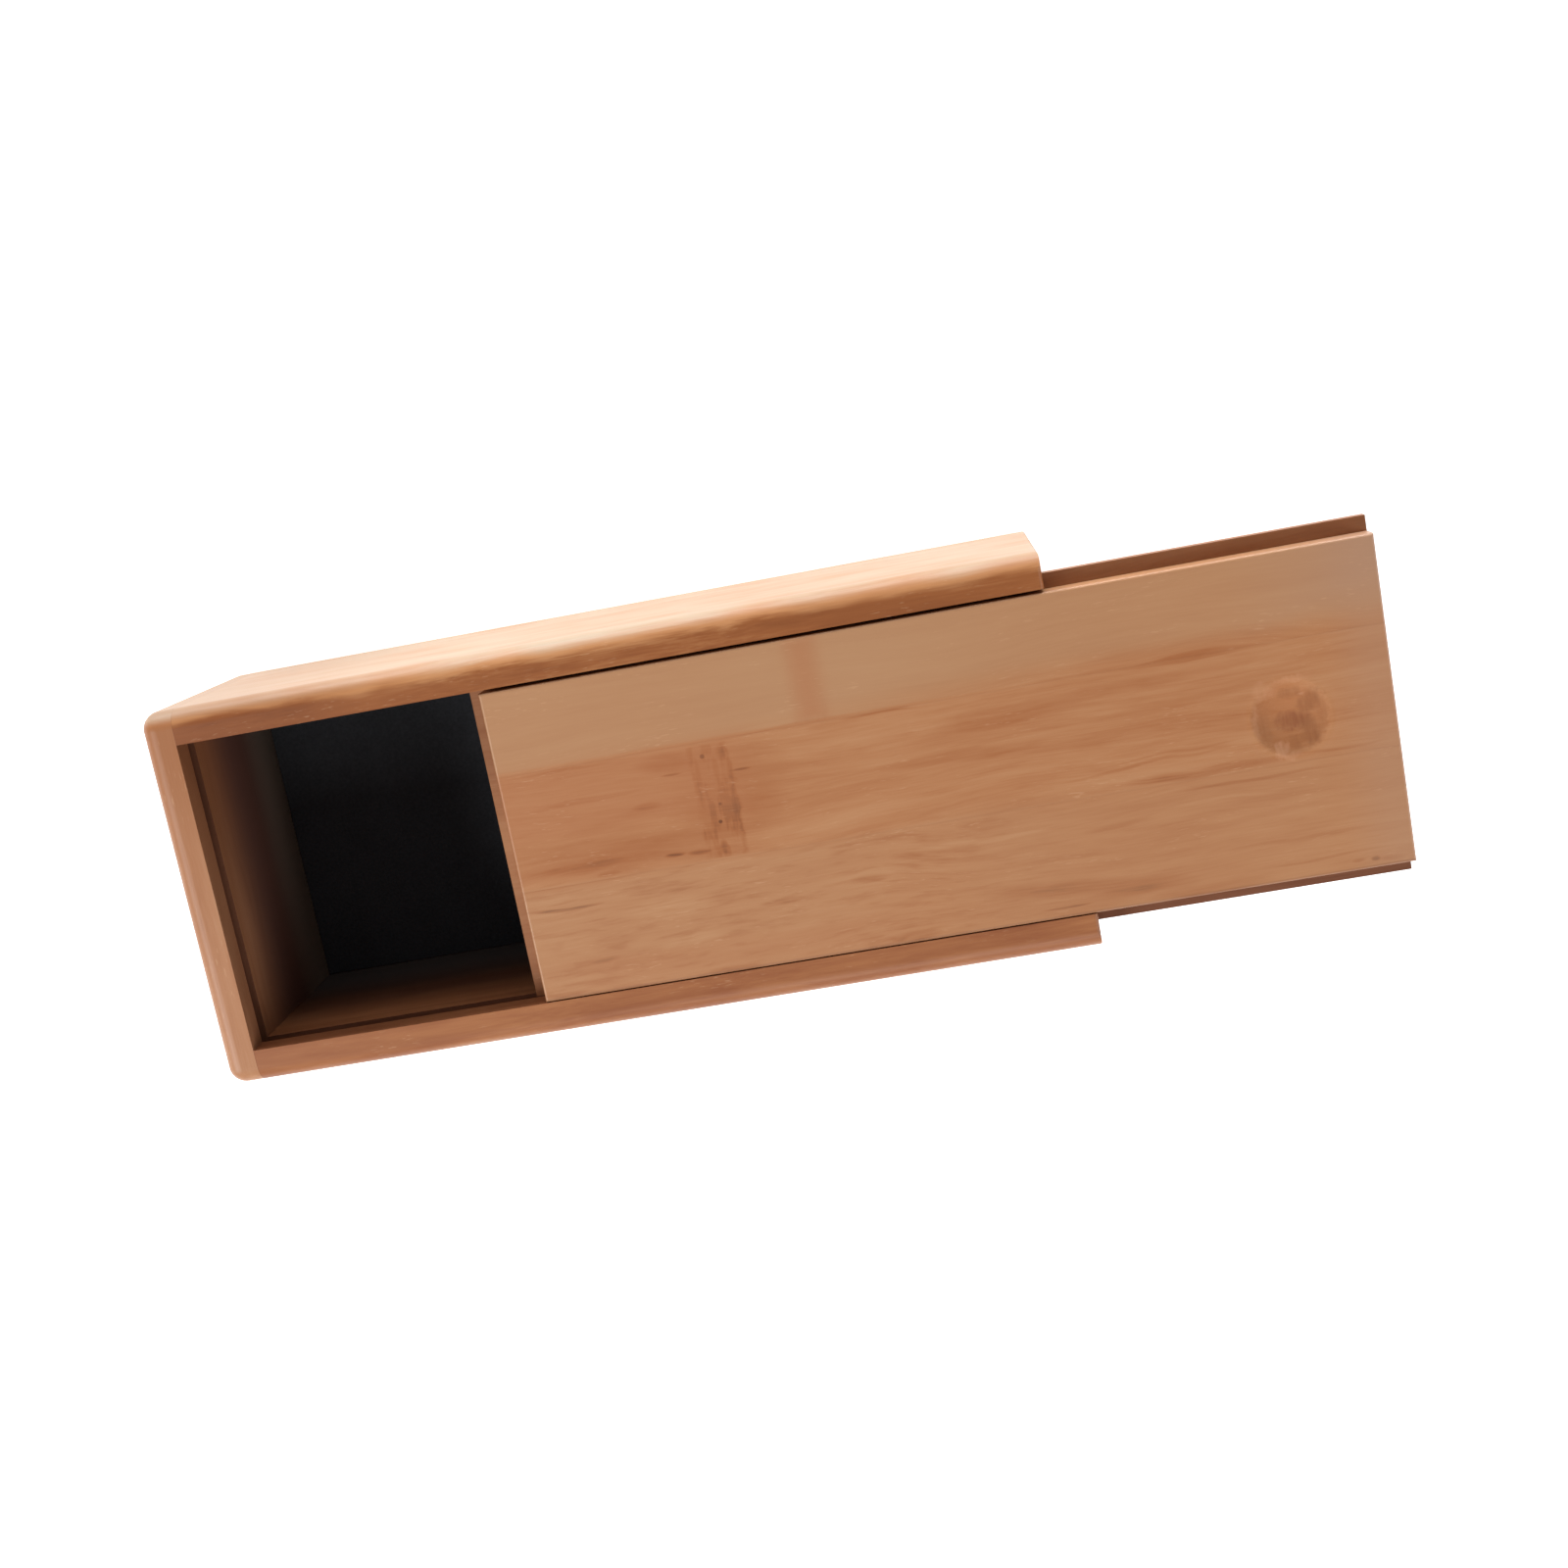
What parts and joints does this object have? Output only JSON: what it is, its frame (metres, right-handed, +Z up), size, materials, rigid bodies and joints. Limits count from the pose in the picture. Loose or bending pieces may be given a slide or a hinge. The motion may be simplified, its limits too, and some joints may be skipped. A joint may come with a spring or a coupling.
{
  "type": "sliding lid box",
  "caption": "Long bamboo keepsake box with a rebated lid that slides out in a groove over the low end wall; round thumb dish, black liner on the floor.",
  "frame": {"origin": "on the base, under the middle of the box itself, without the pulled-out lid", "axes": "+Z up, with the lid on top; +X the way the lid is pulled out; +Y from the front wall to the back wall"},
  "size_m": [0.24, 0.078, 0.0555],
  "materials": {
    "end_wall_closed": "satin carbonised bamboo, strips across the box",
    "end_wall_low": "satin carbonised bamboo, strips across the box",
    "wall_front": "satin carbonised bamboo, strips along the box",
    "wall_back": "satin carbonised bamboo, strips along the box",
    "floor_board": "raw sanded bamboo",
    "floor_liner": "matte black felt",
    "lid": "satin carbonised bamboo, strips along the box"
  },
  "bodies": {
    "box": {"end_wall_closed": "end_wall_closed", "end_wall_low": "end_wall_low", "wall_front": "wall_front", "wall_back": "wall_back", "floor_board": "floor_board", "floor_liner": "floor_liner"},
    "lid": {"lid": "lid"}
  },
  "joints": [
    {"name": "lid_slide", "type": "slide", "parent": "box", "child": "lid", "axis": [1, 0, 0], "range_m": [-0.061, 0.12]}
  ]
}
